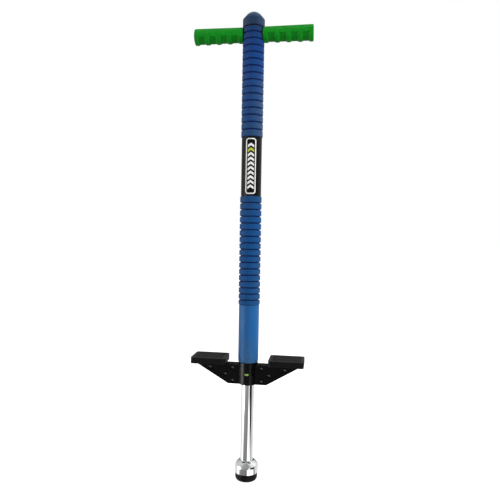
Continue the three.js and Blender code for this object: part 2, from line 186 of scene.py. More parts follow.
def bridge(bm, rings):
    """Faces between each ring of points and the next. A ring may be a single point."""
    for low, high in zip(rings, rings[1:]):
        for i in range(max(len(low), len(high))):
            j = i + 1
            corners = [low[i % len(low)], low[j % len(low)], high[j % len(high)], high[i % len(high)]]
            unique = list(dict.fromkeys(corners))
            if len(unique) > 2:
                bm.faces.new(unique)


def lathe(outline, axis="Z", at=(0, 0, 0), segments=SEGMENTS):
    """A round solid from its outline of (radius, height), about an axis through a point."""
    bm = bmesh.new()
    turn = AXIS_TURNS[axis]
    rings = []
    for radius, height in outline:
        ring = []
        for i in range(segments if radius > 1e-6 else 1):
            angle = 2 * math.pi * i / segments
            point = Vector((radius * math.cos(angle), radius * math.sin(angle), height))
            ring.append(bm.verts.new((turn @ point + Vector(at)) * MM))
        rings.append(ring)
    starts_on_axis = len(rings[0]) == 1
    bridge(bm, rings if starts_on_axis else rings + rings[:1])
    return to_object(bm)


def tube(outer, inner, start, end, edge, **place):
    """A round sleeve with rounded rims."""
    return lathe(rectangle(inner, outer, start, end, edge), **place)


def tube_of(node, bore, edge):
    """The upright sleeve that fills a node's box."""
    box = Box(node)
    return tube(box.r, bore, box.z0, box.z1, edge)


def rod(radius, start, end, edge=0, **place):
    """A round bar, with rounded ends if edge isn't 0."""
    corners = [(0, start, 0), (radius, start, edge), (radius, end, edge), (0, end, 0)]
    return lathe(rounded(corners, closed=False), **place)


def cross_rod(radius, y0, y1, x=0, z=0, edge=0):
    """A thin round bar along Y."""
    return rod(radius, y0, y1, edge, axis="Y", at=(x, 0, z), segments=SMALL_SEGMENTS)


def prism(outline, start, end, axis="Y", edge=0):
    """A flat outline made solid: (x, z) along Y, or (x, y) along Z. Its sharp edges are rounded."""
    bm = bmesh.new()

    def place(point, along):
        u, v = point
        return Vector((u, along, v) if axis == "Y" else (u, v, along)) * MM

    near = [bm.verts.new(place(point, start)) for point in outline]
    far = [bm.verts.new(place(point, end)) for point in outline]
    bm.faces.new(near)
    bm.faces.new(far)
    bridge(bm, [near, far])
    if edge:
        rim = [e for e in bm.edges if e.calc_face_angle(0) > SHARP]
        steps = 3 if edge < LARGE_EDGE else 6
        bmesh.ops.bevel(bm, geom=rim, offset=edge * MM, segments=steps, profile=0.5, affect="EDGES")
    return to_object(bm)


def block(x0, x1, y0, y1, z0, z1, edge=0):
    return prism(rectangle(x0, x1, z0, z1), y0, y1, edge=edge)


def combine(obj, tools, operation):
    """Joins other objects to one, or cuts it with them, and uses them up."""
    for tool in tools:
        modifier = obj.modifiers.new(operation, "BOOLEAN")
        modifier.operation = operation
        modifier.solver = "MANIFOLD"
        modifier.object = tool
    evaluated = obj.evaluated_get(bpy.context.evaluated_depsgraph_get())
    mesh = bpy.data.meshes.new_from_object(evaluated)
    obj.modifiers.clear()
    obj.data = mesh
    for tool in tools:
        bpy.data.objects.remove(tool)
    return obj


def cut(obj, *tools):
    return combine(obj, tools, "DIFFERENCE")


def joined(obj, *tools):
    return combine(obj, tools, "UNION")


def reshaped(obj, move):
    """Moves each point of a mesh by a function of its place in millimetres."""
    for vertex in obj.data.vertices:
        vertex.co = move(vertex.co / MM) * MM
    return obj


def turn_z(angle):
    return Matrix.Rotation(angle, 4, "Z")


def shift(x, y, z):
    return Matrix.Translation(Vector((x, y, z)) * MM)


def moved_copy(obj, matrix):
    copy = placed("work", obj.data.copy())
    copy.data.transform(matrix)
    return copy


def finished(obj, name, material):
    """Gives a piece its name, its material and its shading."""
    obj.name = name
    obj.data.name = name
    obj.data.materials.clear()
    obj.data.materials.append(material)
    obj.data.shade_smooth()
    obj.data.set_sharp_from_angle(angle=SHARP)
    weights = obj.modifiers.new("even_normals", "WEIGHTED_NORMAL")
    weights.keep_sharp = True


def show(obj, node, material):
    """Hands a finished piece over to the frame, to stand for the node that it is named after."""
    finished(obj, "fine_" + node, material)
    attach(obj, BODY_OF[node])
    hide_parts(node)
    return obj


def decorate(obj, name, material, carrier):
    """Hands over a piece that has no node of its own and lies on a node, its carrier."""
    finished(obj, name, material)
    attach(obj, BODY_OF[carrier])


# ---- materials -------------------------------

def tint(*colour):
    """A colour as seen on a screen, 0 to 255, as the linear values that a shader takes."""
    shares = [value / 255 for value in colour]
    return tuple(s / 12.92 if s <= 0.04045 else ((s + 0.055) / 1.055) ** 2.4 for s in shares) + (1,)


def times(colour, factor):
    """A lighter or darker shade of a colour."""
    return tuple(value * factor for value in colour[:3]) + (1,)


class Nodes:
    """The node tree of a material or a world. Values go into its sockets, or links from other sockets."""

    def __init__(self, owner):
        owner.use_nodes = True
        self.nodes = owner.node_tree.nodes
        self.links = owner.node_tree.links

    def feed(self, socket, value):
        if isinstance(value, bpy.types.NodeSocket):
            self.links.new(value, socket)
        else:
            socket.default_value = value

    def add(self, kind, settings=None, **inputs):
        node = self.nodes.new("ShaderNode" + kind)
        for attribute, value in (settings or {}).items():
            setattr(node, attribute, value)
        self.set(node, **inputs)
        return node

    def set(self, node, **inputs):
        """Feeds a node's inputs, each named with _ for a space."""
        for socket, value in inputs.items():
            self.feed(node.inputs[socket.replace("_", " ")], value)

    def calculate(self, kind, operation, *values):
        """The outputs of a Math or VectorMath node."""
        node = self.add(kind, {"operation": operation})
        for socket, value in zip(node.inputs, values):
            self.feed(socket, value)
        return node.outputs

    def part(self, vector, axis):
        """A vector's part along one axis."""
        return self.add("SeparateXYZ", Vector=vector).outputs[axis]

    def ranged(self, value, low, high, to_low=0.0, to_high=1.0):
        node = self.add("MapRange", Value=value, From_Min=low, From_Max=high, To_Min=to_low,
                        To_Max=to_high)
        return node.outputs["Result"]

    def mixed(self, share, below, above):
        """The colour above where share is 1, and the colour below where it is 0."""
        mix = self.add("Mix", {"data_type": "RGBA"}, Factor=share)
        self.feed(mix.inputs[6], below)
        self.feed(mix.inputs[7], above)
        return mix.outputs[2]


class Look(Nodes):
    """A Principled material in the frame's coordinates, with its detail added step by step."""

    def __init__(self, name, colour, roughness, specular=0.5, **others):
        self.material = bpy.data.materials.new(name)
        super().__init__(self.material)
        self.shader = self.nodes["Principled BSDF"]
        self.set(self.shader, Base_Color=colour, Roughness=roughness, Specular_IOR_Level=specular, **others)
        self.place = self.add("TexCoord").outputs["Object"]
        self.colour = colour
        self.normal = None

    def between(self, axis, low, high, to_high=1.0):
        """0 at one place along an axis and to_high at another, in millimetres."""
        return self.ranged(self.part(self.place, axis), low * MM, high * MM, to_high=to_high)

    def inside(self, outer, inner, axes, centre=(0, 0, 0)):
        """0 at one radius and 1 at another, about a line through a point, along two of the axes."""
        centre = [value * MM for value in centre]
        offset = self.calculate("VectorMath", "SUBTRACT", self.place, centre)
        flat = self.calculate("VectorMath", "MULTIPLY", offset["Vector"], axes)
        length = self.calculate("VectorMath", "LENGTH", flat["Vector"])
        return self.ranged(length["Value"], outer * MM, inner * MM)

    def noise(self, size, detail=3, stretch=(1, 1, 1)):
        """Noise with features of about size millimetres, longer along a stretched axis."""
        sizes = [size * MM * s for s in stretch]
        scaled = self.calculate("VectorMath", "DIVIDE", self.place, sizes)["Vector"]
        return self.add("TexNoise", Vector=scaled, Scale=1.0, Detail=detail).outputs["Fac"]

    def blend_colour(self, share, colour):
        """Mixes another colour over the present one where share is 1."""
        self.colour = self.mixed(share, self.colour, colour)
        self.feed(self.shader.inputs["Base Color"], self.colour)
        return self

    def mottle(self, colour, size, low=0.4, high=0.7, **noise):
        """Patches of another colour."""
        return self.blend_colour(self.ranged(self.noise(size, **noise), low, high), colour)

    def worn(self, colour, low=0.53, high=0.6):
        """Another colour along the raised edges."""
        edge = self.add("NewGeometry").outputs["Pointiness"]
        return self.blend_colour(self.ranged(edge, low, high), colour)

    def grain(self, size, depth, **noise):
        """A fine raised texture, depth in millimetres."""
        bump = self.add("Bump", Height=self.noise(size, **noise), Distance=depth * MM, Strength=1.0)
        if self.normal:
            self.feed(bump.inputs["Normal"], self.normal)
        self.normal = bump.outputs["Normal"]
        self.feed(self.shader.inputs["Normal"], self.normal)
        return self

    def smudged(self, low, high, size, **noise):
        """Roughness that varies between two values."""
        value = self.ranged(self.noise(size, **noise), 0.35, 0.65, low, high)
        self.feed(self.shader.inputs["Roughness"], value)
        return self


def foam_look(name, box, top_end_colour, top, bottom, right_sheen):
    """Closed-cell foam: tiny cells, soft patches, a colour that changes down the stick and another
    along its top end, painted shade in the grooves and a painted sheen on its right side.

    The last argument says how strong the painted sheen on its right side is, from 0 to 1.
    """
    # the colour of the painted shade in the grooves; the foam's tiny cells are a darker tone of it
    groove = tint(0, 34, 92)
    look = Look(name, top, 0.6, specular=0.16, Sheen_Weight=0.09, Sheen_Roughness=0.5,
                Sheen_Tint=(0.6, 0.8, 1, 1))
    # the colour shifts from the top of the sleeve to its bottom, and changes again over its top few
    # centimetres
    look.blend_colour(look.between("Z", box.z1, box.z0), bottom)
    look.blend_colour(look.between("Z", box.z1 - 50, box.z1 - 5), top_end_colour)
    # painted sheen: a pale grey over the right side of the sleeve's lower part, strongest at the edge
    right_sheen_share = look.between("X", 0, box.r, right_sheen)
    look.blend_colour(look.between("Z", box.z1 - 70, box.z1 - 150, right_sheen_share), tint(76, 94, 97))
    look.mottle(times(top, 1.25), 5, 0.4, 0.8, stretch=(1, 1, 0.6))
    look.mottle(times(groove, 0.8), 0.9, 0.62, 0.9, detail=1)
    # painted shade: the grooves darken towards their floors
    look.blend_colour(look.inside(box.r - 0.3, box.r - 1.4, (1, 1, 0)), groove)
    return look.grain(0.7, 0.12, detail=2).grain(4, 0.2).smudged(0.52, 0.7, 3).material


def sleeve_look(box):
    top, bottom = tint(28, 93, 152), tint(54, 88, 120)
    look = Look("blue_sleeve_plastic", top, 0.45, specular=0.25)
    look.blend_colour(look.between("Z", box.z0 + 60, box.z0), bottom)
    look.mottle(times(top, 1.15), 30, stretch=(1, 1, 4))
    return look.grain(0.5, 0.02).smudged(0.36, 0.55, 6, stretch=(1, 1, 5)).material


def cap_look(box):
    """Blue plastic, with a painted highlight on the crown and painted shade along the rim where it sits
    over the foam.
    """
    base, dust_and_highlight = tint(31, 54, 84), tint(64, 95, 116)
    look = Look("blue_cap_plastic", base, 0.4, specular=0.25)
    look.mottle(times(base, 1.2), 6, stretch=(1, 1, 3)).worn(times(base, 1.5))
    # painted highlight: the crown is lighter, as if lit from above
    look.blend_colour(look.between("Z", box.z1 - 10.2, box.z1 - 8.6), dust_and_highlight)
    # painted shade: the rim darkens where it sits over the foam
    look.blend_colour(look.between("Z", box.z0 + 2.4, box.z0 + 1.2), tint(8, 18, 40))
    return look.grain(0.45, 0.03).smudged(0.34, 0.5, 5, stretch=(1, 1, 3)).material


def grip_look(box):
    """Green rubber, with painted shade in the finger recesses."""
    base = tint(8, 130, 24)
    outer_r = (box.z1 - box.z0) / 2
    look = Look("green_grip_rubber", base, 0.5, specular=0.16)
    look.mottle(times(base, 1.2), 9).worn(tint(40, 160, 50), 0.52, 0.6)
    # painted shade: the finger recesses darken towards their floors
    recess = look.inside(outer_r - 0.7, outer_r - 1.6, (0, 1, 1), (0, 0, BAR_Z))
    look.blend_colour(recess, tint(2, 118, 18))
    return look.grain(0.35, 0.04).grain(6, 0.05).smudged(0.45, 0.65, 8).material


def moulded_look(name, colour, roughness, specular=0.4):
    """Moulded plastic with the fine spark texture of its mould, a little lighter along its edges."""
    look = Look(name, colour, roughness, specular=specular)
    look.mottle(times(colour, 1.5), 10).worn(times(colour, 2), 0.54, 0.66)
    look.grain(0.3, 0.02, detail=1).grain(2.5, 0.02)
    return look.smudged(roughness - 0.06, roughness + 0.08, 7).material


def tread_look():
    """Moulded plastic, with painted light on the faces that look up."""
    base = tint(11, 11, 12)
    look = Look("tread_moulding", base, 0.55, specular=0.2)
    look.mottle(times(base, 2.5), 10, 0.5, 0.9)
    # painted light: faces that look up are lighter, as if lit from above
    top_light_facing = look.part(look.add("NewGeometry").outputs["Normal"], "Z")
    look.blend_colour(look.ranged(top_light_facing, 0.2, 0.8), tint(60, 60, 61))
    return look.grain(0.3, 0.02, detail=1).grain(2.5, 0.02).smudged(0.5, 0.64, 7).material


def film_look(name, colour):
    """Printed film: smooth, with slight waves from the layer below."""
    look = Look(name, colour, 0.35, specular=0.18)
    return look.mottle(times(colour, 0.85), 7).grain(5, 0.05).smudged(0.3, 0.42, 9).material


def rubber_look(name, colour, roughness):
    dust_and_highlight = times(colour, 2.5)
    look = Look(name, colour, roughness, specular=0.2)
    look.mottle(dust_and_highlight, 6, 0.5, 0.9).worn(dust_and_highlight, 0.53, 0.62)
    look.grain(0.4, 0.04, detail=2).grain(3, 0.06)
    return look.smudged(roughness - 0.08, roughness + 0.1, 5).material


def metal_look(name, colour, darker, low, high, grain_depth, stretch=(1, 1, 1)):
    """Bare or plated metal: its tone and gloss vary, with a fine drawn or cast grain."""
    look = Look(name, colour, (low + high) / 2, Metallic=1.0)
    look.mottle(darker, 14, stretch=stretch)
    return look.smudged(low, high, 4, stretch=stretch).grain(0.4, grain_depth, stretch=stretch).material


def screw_look(box):
    """Black oxide, with bright metal at the bottom of the drive recess as a painted glint."""
    look = Look("black_oxide_screw", (0.03, 0.03, 0.032, 1), 0.14, Metallic=1.0)
    in_head = look.between("Y", box.y0 + DRIVE_DEPTH + 0.4, box.y0 + DRIVE_DEPTH + 0.1)
    # painted glint: the floor of the drive recess is bright metal
    painted_glint = look.between("Y", box.y0 + DRIVE_DEPTH - 0.5, box.y0 + DRIVE_DEPTH - 0.2, in_head)
    return look.blend_colour(painted_glint, (0.45, 0.45, 0.46, 1)).smudged(0.1, 0.18, 4).grain(0.4, 0.003).material


def painted_look():
    base = tint(20, 21, 23)
    look = Look("black_powder_paint", base, 0.4, specular=0.45)
    return look.mottle(times(base, 1.4), 8).grain(0.9, 0.04).smudged(0.34, 0.5, 5).material


def nylon_look():
    base = tint(216, 213, 202)
    look = Look("natural_nylon", base, 0.5, specular=0.4, Subsurface_Weight=0.05)
    return look.mottle(times(base, 0.86), 8).grain(0.5, 0.02).smudged(0.42, 0.6, 6).material


# each foam: its top-end colour, its top and bottom colours, and the strength of its painted sheen on the
# right
UPPER_FOAM = foam_look("blue_foam_upper", Box("foam_upper"), tint(27, 50, 80), tint(2, 58, 128),
                       tint(40, 72, 104), 0.5)
LOWER_FOAM = foam_look("blue_foam_lower", Box("foam_lower"), tint(26, 68, 108), tint(12, 72, 130),
                       tint(18, 72, 122), 0.15)
SLEEVE = sleeve_look(Box("smooth_sleeve"))
CAP = cap_look(Box("top_cap"))
GRIP = grip_look(Box("grip_right"))
PAINT = painted_look()
SHELL = moulded_look("black_moulding", tint(3, 3, 4), 0.2, 0.23)
TREAD_TOP = tread_look()
BUSH = moulded_look("bush_moulding", tint(20, 20, 22), 0.45)
LABEL_BASE = moulded_look("label_band", tint(16, 16, 18), 0.4)
LABEL_FILM = film_look("label_film", tint(10, 10, 11))
WHITE_PRINT = film_look("white_print", tint(246, 246, 244))
LIME_PRINT = film_look("lime_print", tint(196, 206, 74))
KEY_LOOK = moulded_look("lime_key", tint(120, 158, 72), 0.45)
RUBBER = rubber_look("black_foot_rubber", tint(6, 6, 7), 0.5)
BUMPER_RUBBER = rubber_look("black_bumper_rubber", tint(20, 20, 20), 0.75)
NYLON = nylon_look()
CHROME = metal_look("chrome_plate", (0.9, 0.905, 0.91, 1), (0.86, 0.865, 0.875, 1), 0.03, 0.07, 0.0004)
ZINC = metal_look("zinc_plate", (0.62, 0.63, 0.65, 1), (0.5, 0.5, 0.5, 1), 0.26, 0.42, 0.006)
SCREW_LOOK = screw_look(Box("footrest_screw_right_1"))
BLACK_OXIDE = metal_look("black_oxide", (0.055, 0.055, 0.058, 1), (0.03, 0.03, 0.03, 1), 0.1, 0.18, 0.003)
SPRING_STEEL = metal_look("oiled_spring_steel", (0.3, 0.31, 0.33, 1), (0.18, 0.18, 0.19, 1), 0.28, 0.42,
                          0.01)


# ---- handlebar -------------------------------

GRIP_STEP = 0.9  # how finely a grip is divided along its length
FINGER_FIRST = 36.5  # distance of the first finger recess from the middle
FINGER_PITCH = 22.5
FINGER_COUNT = 4
FINGER_HALF = 7
FINGER_EDGE = 1.5  # the length over which a recess fades out
FINGER_DEPTH = 1.7
FINGER_TOP = 9  # degrees below the front, where a recess begins and ends
FINGER_BOTTOM = 150
FINGER_FADE = 6  # degrees to each side of those, over which it fades out
BORE_LAYER = 3  # thickness next to the bar that the recesses leave alone
LEFT_GRIP_TURN = 10  # how much lower the recesses of the left grip lie, in degrees


def fade(distance, start, end):
    """1 below start, 0 beyond end, and smooth between them."""
    share = min(max((end - distance) / (end - start), 0), 1)
    return share * share * (3 - 2 * share)


def finger_recess(point):
    """Presses the finger recesses into the front and the underside of a grip."""
    y, z = point.y, point.z - BAR_Z
    radius = math.hypot(y, z)
    if radius < BAR_R + BORE_LAYER:
        return point
    nearest = min(abs(abs(point.x) - FINGER_FIRST - FINGER_PITCH * i) for i in range(FINGER_COUNT))
    along = fade(nearest, FINGER_HALF - FINGER_EDGE, FINGER_HALF + FINGER_EDGE)
    turn = LEFT_GRIP_TURN if point.x < 0 else 0
    below_front = math.degrees(math.atan2(-z, -y)) - turn
    middle, half = (FINGER_TOP + FINGER_BOTTOM) / 2, (FINGER_BOTTOM - FINGER_TOP) / 2
    around = fade(abs(below_front - middle), half - FINGER_FADE, half + FINGER_FADE)
    share = 1 - FINGER_DEPTH * along * around / radius
    return Vector((point.x, y * share, BAR_Z + z * share))


def grip(side):
    box = Box("grip_right")
    bore = BAR_R + 0.15
    outer_r = (box.z1 - box.z0) / 2
    inner_r = outer_r - 0.7
    start, end, bottom = box.x0, box.x1, BAR.x1 + 0.3
    corners = [(0, bottom, 0), (bore, bottom, 0.4), (bore, start, 0.4), (inner_r, start, 1),
               (outer_r, end - 6, 3), (outer_r - 0.1, end, 1.6), (outer_r - 3.4, end, 0.4),
               (outer_r - 3.9, end - 0.6, 0.4), (outer_r - 4.6, end - 0.6, 0.4),
               (outer_r - 5.1, end, 0.4), (0, end, 0)]
    points = rounded(corners, closed=False)
    dense = []
    for here, ahead in zip(points, points[1:]):
        steps = 1 if here[0] < bore + 1 else math.ceil(math.dist(here, ahead) / GRIP_STEP)
        dense += [tuple(Vector(here).lerp(Vector(ahead), k / steps)) for k in range(steps)]
    dense.append(points[-1])
    axis = "X" if side > 0 else "-X"
    return reshaped(lathe(dense, axis=axis, at=(0, 0, BAR_Z)), finger_recess)


def grip_pockets():
    """Cutters for the flats beside the inner ends of the two grips."""
    far = Box("top_cap").r + OVERSHOOT
    return [rod(POCKET_R, POCKET_START, far, axis=axis, at=(0, 0, BAR_Z)) for axis in ("X", "-X")]


def top_cap():
    """A straight band, a chamfer, and a round dome that meets the chamfer smoothly."""
    box = Box("top_cap")
    seat = TUBE.z1 + 0.3
    shoulder = box.z1 - 15.7
    dome_edge, dome_rise = 14.5, 6.7
    corners = [(0, seat, 0), (SLEEVE_BORE_R, seat, 0.3), (SLEEVE_BORE_R, box.z0, 0.3),
               (box.r, box.z0, 0.8), (box.r, shoulder, 1.2), (dome_edge, box.z1 - dome_rise, 0)]
    outline = rounded(corners, closed=False)
    dome_r = (dome_edge ** 2 + dome_rise ** 2) / (2 * dome_rise)
    start = math.acos(dome_edge / dome_r)
    outline += dome(dome_r, dome_r, box.z1 - dome_r, start, math.pi / 2, steps=12)
    return cut(lathe(outline), *grip_pockets())


def make_handlebar():
    show(tube(BAR_R, BAR_BORE_R, BAR.x0, BAR.x1, 0.3, **ALONG_BAR), "handlebar_tube", PAINT)
    for word, side in SIDES:
        show(grip(side), "grip_" + word, GRIP)
    show(top_cap(), "top_cap", CAP)


# ---- sleeves on the tube ---------------------

UPPER_GROOVES = dict(count=15, first=11.7, pitch=13.09, stretch=0.079, depth=2.1, half=1.35, soft=2)
LOWER_GROOVES = dict(count=16, first=12.95, pitch=13.5, stretch=-0.089, depth=2.6, half=1.1, soft=2.8)


def grooved_sleeve(box, count, first, pitch, stretch, depth, half, soft):
    """A foam sleeve with grooves, listed from the top, whose pitch changes by stretch each time."""
    end_soft, lean = 1.6, 0.15
    corners = [(SLEEVE_BORE_R, box.z1, 0.5), (SLEEVE_BORE_R, box.z0, 0.5), (box.r, box.z0, end_soft)]
    places = [box.z1 - first - pitch * i - stretch * i * (i - 1) / 2 for i in range(count)]
    for z in reversed(places):
        corners += [(box.r, z - half - lean, soft), (box.r - depth, z - half, 0.4),
                    (box.r - depth, z + half, 0.4), (box.r, z + half + lean, soft)]
    corners.append((box.r, box.z1, end_soft))
    return lathe(rounded(corners))


def upper_foam():
    """The upper sleeve, with a notch that straddles the crossbar."""
    box = Box("foam_upper")
    notch_r = BAR_R + 0.3
    far = box.r + OVERSHOOT
    channel = block(-far, far, -notch_r, notch_r, BAR_Z, box.z1 + OVERSHOOT)
    floor = rod(notch_r, -far, far, **ALONG_BAR)
    return cut(grooved_sleeve(box, **UPPER_GROOVES), floor, channel, *grip_pockets())


def smooth_sleeve():
    box = Box("smooth_sleeve")
    corners = [(SLEEVE_BORE_R, box.z1, 0.4), (SLEEVE_BORE_R, box.z0, 0.4), (box.r - 0.6, box.z0, 3),
               (box.r, box.z0 + 7, 5), (box.r, box.z1, 0.7)]
    return lathe(rounded(corners))


def frame_tube():
    """The tube, with holes for the crossbar and the spring's pin, and the key's window."""
    bar_hole_r, pin_hole_r = BAR_R + 0.15, 3.1
    far = TUBE.r + OVERSHOOT
    body = tube_of("frame_tube", TUBE_BORE_R, 0.4)
    bar_hole = rod(bar_hole_r, -far, far, **ALONG_BAR)
    pin_hole = cross_rod(pin_hole_r, -far, far, z=Box("spring_stop_pin").middle_z)
    return cut(body, bar_hole, pin_hole, key_window())


def make_sleeves():
    show(frame_tube(), "frame_tube", PAINT)
    show(upper_foam(), "foam_upper", UPPER_FOAM)
    lower = grooved_sleeve(Box("foam_lower"), **LOWER_GROOVES)
    show(lower, "foam_lower", LOWER_FOAM)
    show(smooth_sleeve(), "smooth_sleeve", SLEEVE)
    show(tube_of("label_sleeve", SLEEVE_BORE_R, 0.5), "label_sleeve", LABEL_BASE)
    show(tube_of("label_wrap", Box("label_sleeve").r + 0.1, 0.12), "label_wrap", LABEL_FILM)


# ---- print on the label ----------------------

PRINT_TURN = math.radians(4)  # the middle of the print, a little to the right of the front
PRINT_STEP = 1.0  # how finely the print is bent round the band


def printed(outline, holes=()):
    """A thin flat shape, from (distance round the band, height), bent onto the label."""
    wrap = Box("label_wrap")
    low, high = 0.03, 0.16
    sheet = prism(outline, -high, -low)
    for hole in holes:
        cut(sheet, prism(hole, -high - 1, 1))
    bm = bmesh.new()
    bm.from_mesh(sheet.data)
    bpy.data.objects.remove(sheet)
    reach = max(abs(u) for u, _ in outline)
    steps = math.ceil(reach / PRINT_STEP)
    for i in range(-steps, steps + 1):
        everything = bm.verts[:] + bm.edges[:] + bm.faces[:]
        bmesh.ops.bisect_plane(bm, geom=everything, plane_co=(i * PRINT_STEP * MM, 0, 0),
                               plane_no=(1, 0, 0))
    bent = to_object(bm)

    def bend(point):
        angle = point.x / wrap.r + PRINT_TURN
        radius = wrap.r - point.y
        return Vector((radius * math.sin(angle), -radius * math.cos(angle), point.z))

    return reshaped(bent, bend)


def chevron(z, half, rise, thick):
    """An arrowhead that points up the tube."""
    return [(-half, z), (0, z + rise), (half, z), (half, z + thick), (0, z + rise + thick),
            (-half, z + thick)]


def make_print():
    """A plain border round a stack of upward arrowheads, the second from the top in lime."""
    wrap = Box("label_wrap")
    low, high = wrap.z0 + 3, wrap.z1 - 3
    half, line, corner = 10.4, 2.2, 5.5
    outer = rectangle(-half, half, low, high, corner)
    inner = rectangle(line - half, half - line, low + line, high - line, corner - line)
    decorate(printed(outer, [inner]), "label_print_border", WHITE_PRINT, "label_wrap")
    arrow_half, rise, thick, gap = 6.2, 4.4, 4.9, 4.2
    count = 10
    start = (low + high - count * (thick + gap) + gap - rise) / 2
    for i in range(count):
        ink = LIME_PRINT if i == count - 2 else WHITE_PRINT
        shape = chevron(start + i * (thick + gap), arrow_half, rise, thick)
        decorate(printed(shape), f"label_print_arrow_{i + 1}", ink, "label_wrap")


# ---- footrests -------------------------------

HUB_R = 19.5
HUB_BOTTOM = Box("footrest_shell_front").z0
HUB_TOP = Box("smooth_sleeve").z0 - 0.45
PARTING = 0.15  # half the joint between the two shells
WEB_HALF = 12
WEB_BOTTOM = HUB_BOTTOM + 1.1
WEB_TOP = WEB_BOTTOM + 38.2
WEB_KNEE = 38.5
TOE_X = 103
TOE_Z = 232.5
WEB_WALL = 3
RIM = 2.2  # width of the raised rim round each web
PANEL_DEPTH = 0.8
PLATFORM_X = (46.4, 109.6)
PLATFORM_HALF = 25.2
PLATFORM_Z = (239.2, 243.8)
SCREW_PLACES = [(29, 227.6), (29, 201.7), (44, 214.2), (75.5, 226.8)]
SCREWS = [(side * x, z) for _, side in SIDES for x, z in SCREW_PLACES]
BOSS_R = 5.6
RECESS_R = 4.7
RECESS_DEPTH = 3
SCREW_HOLE_R = 2.6
NUT_R = 4.4
SLOT_X = 60.2  # the middle of a long recess between two of the screws
SLOT_Z = 218.2
SLOT_SLOPE = 30
SLOT_LENGTH = 26
SLOT_WIDTH = 6
SLOT_FLOOR = -9.9


def web_outline(start_x):
    """One web, from inside the hub's wall out to the toe and up to the platform."""
    top = PLATFORM_Z[0] + 1
    return [(start_x, WEB_BOTTOM), (WEB_KNEE, WEB_BOTTOM), (TOE_X, TOE_Z), (TOE_X + 3, top),
            (PLATFORM_X[0], top), (PLATFORM_X[0], WEB_TOP), (start_x, WEB_TOP)]


def mirrored(outline, side):
    """The same outline at the other side, still anticlockwise."""
    return outline if side > 0 else [(-u, v) for u, v in reversed(outline)]


def key_window():
    """The cutter for the window that the key sits in."""
    key = Box("bush_key")
    play = 0.2
    return block(key.x0 - play, key.x1 + play, key.y0 - OVERSHOOT, key.y1 + OVERSHOOT,
                 key.z0 - play, key.z1 + play)


def web_blank(side):
    radii = (0, 4, 3, 0, 0, 2, 0)
    corners = [(u, v, radius) for (u, v), radius in zip(web_outline(SLEEVE_BORE_R), radii)]
    return prism(mirrored(rounded(corners), side), -WEB_HALF, WEB_HALF, edge=0.7)


def platform_blank(side):
    corner = 3
    outline = rectangle(*PLATFORM_X, -PLATFORM_HALF, PLATFORM_HALF, corner)
    return prism(mirrored(outline, side), *PLATFORM_Z, axis="Z", edge=0.5)


def platform_ribs(side):
    """Low ribs that tie the underside of each half platform to its web."""
    thick_half = 1
    underside = PLATFORM_Z[0]
    profile = [(1 - PLATFORM_HALF, underside + 0.5), (1 - WEB_HALF, underside - 6),
               (1 - WEB_HALF, underside + 0.5)]
    ribs = []
    for share in (0.03, 0.265, 0.5, 0.735, 0.97):
        x = PLATFORM_X[0] + share * (PLATFORM_X[1] - PLATFORM_X[0])
        rib = prism(profile, -thick_half, thick_half)
        rib.data.transform(shift(side * x, 0, 0) @ turn_z(math.pi / 2))
        ribs.append(rib)
    return ribs


def shell_half():
    """One moulded half, drawn as the front one: half the hub, two webs and two half platforms."""
    bore = SLEEVE_BORE_R - 1
    panel_corner, boss_height, plate_margin, plate_half = 1.5, 0.5, 3.3, 1.8
    hub = lathe(rounded([(bore, HUB_TOP, 0), (bore, HUB_BOTTOM, 0), (HUB_R, HUB_BOTTOM, 3),
                         (HUB_R, HUB_TOP, 0.6)]))
    hollow = inset(web_outline(HUB_R - WEB_WALL), WEB_WALL)
    panel = rounded([(u, v, panel_corner) for u, v in inset(web_outline(HUB_R - 0.4), RIM)])
    blanks, hollows = [], []
    for _, side in SIDES:
        blanks += [web_blank(side), platform_blank(side), *platform_ribs(side)]
        hollows += [prism(mirrored(hollow, side), WEB_WALL - WEB_HALF, WEB_HALF - WEB_WALL),
                    prism(mirrored(panel, side), -WEB_HALF - 1, PANEL_DEPTH - WEB_HALF)]
    shell = cut(joined(hub, *blanks), *hollows)
    boss_top = PANEL_DEPTH - boss_height - WEB_HALF
    joined(shell, *[cross_rod(BOSS_R, boss_top, 0, x, z, edge=0.3) for x, z in SCREWS])
    cutters = [cross_rod(SCREW_HOLE_R, -WEB_HALF - 1, 1, x, z) for x, z in SCREWS]
    plate = inset(web_outline(0), plate_margin)
    for _, side in SIDES:
        cutters.append(prism(mirrored(plate, side), -plate_half, 1))
        slot = capsule(SLOT_LENGTH, SLOT_WIDTH, side * SLOT_SLOPE, (side * SLOT_X, SLOT_Z))
        cutters.append(prism(slot, -WEB_HALF - 1, SLOT_FLOOR))
    cutters.append(rod(SLEEVE_BORE_R, HUB_BOTTOM - OVERSHOOT, HUB_TOP + OVERSHOOT))
    far = PLATFORM_X[1] + OVERSHOOT
    cutters.append(block(-far, far, -PARTING, PLATFORM_HALF + OVERSHOOT, HUB_BOTTOM - OVERSHOOT,
                         PLATFORM_Z[1] + OVERSHOOT))
    return cut(shell, *cutters)


def make_shells():
    """Two of the same moulding. The front has recesses for the screws' heads, the rear for their nuts."""
    front = shell_half()
    rear = moved_copy(front, turn_z(math.pi))
    floor = WEB_HALF - RECESS_DEPTH
    front_recesses = [cross_rod(RECESS_R, -WEB_HALF - 1, -floor, x, z) for x, z in SCREWS]
    rear_recesses = [prism(hexagon(NUT_R + 0.3, x, z), floor, WEB_HALF + 1) for x, z in SCREWS]
    show(cut(front, *front_recesses, key_window()), "footrest_shell_front", SHELL)
    show(cut(rear, *rear_recesses), "footrest_shell_rear", SHELL)


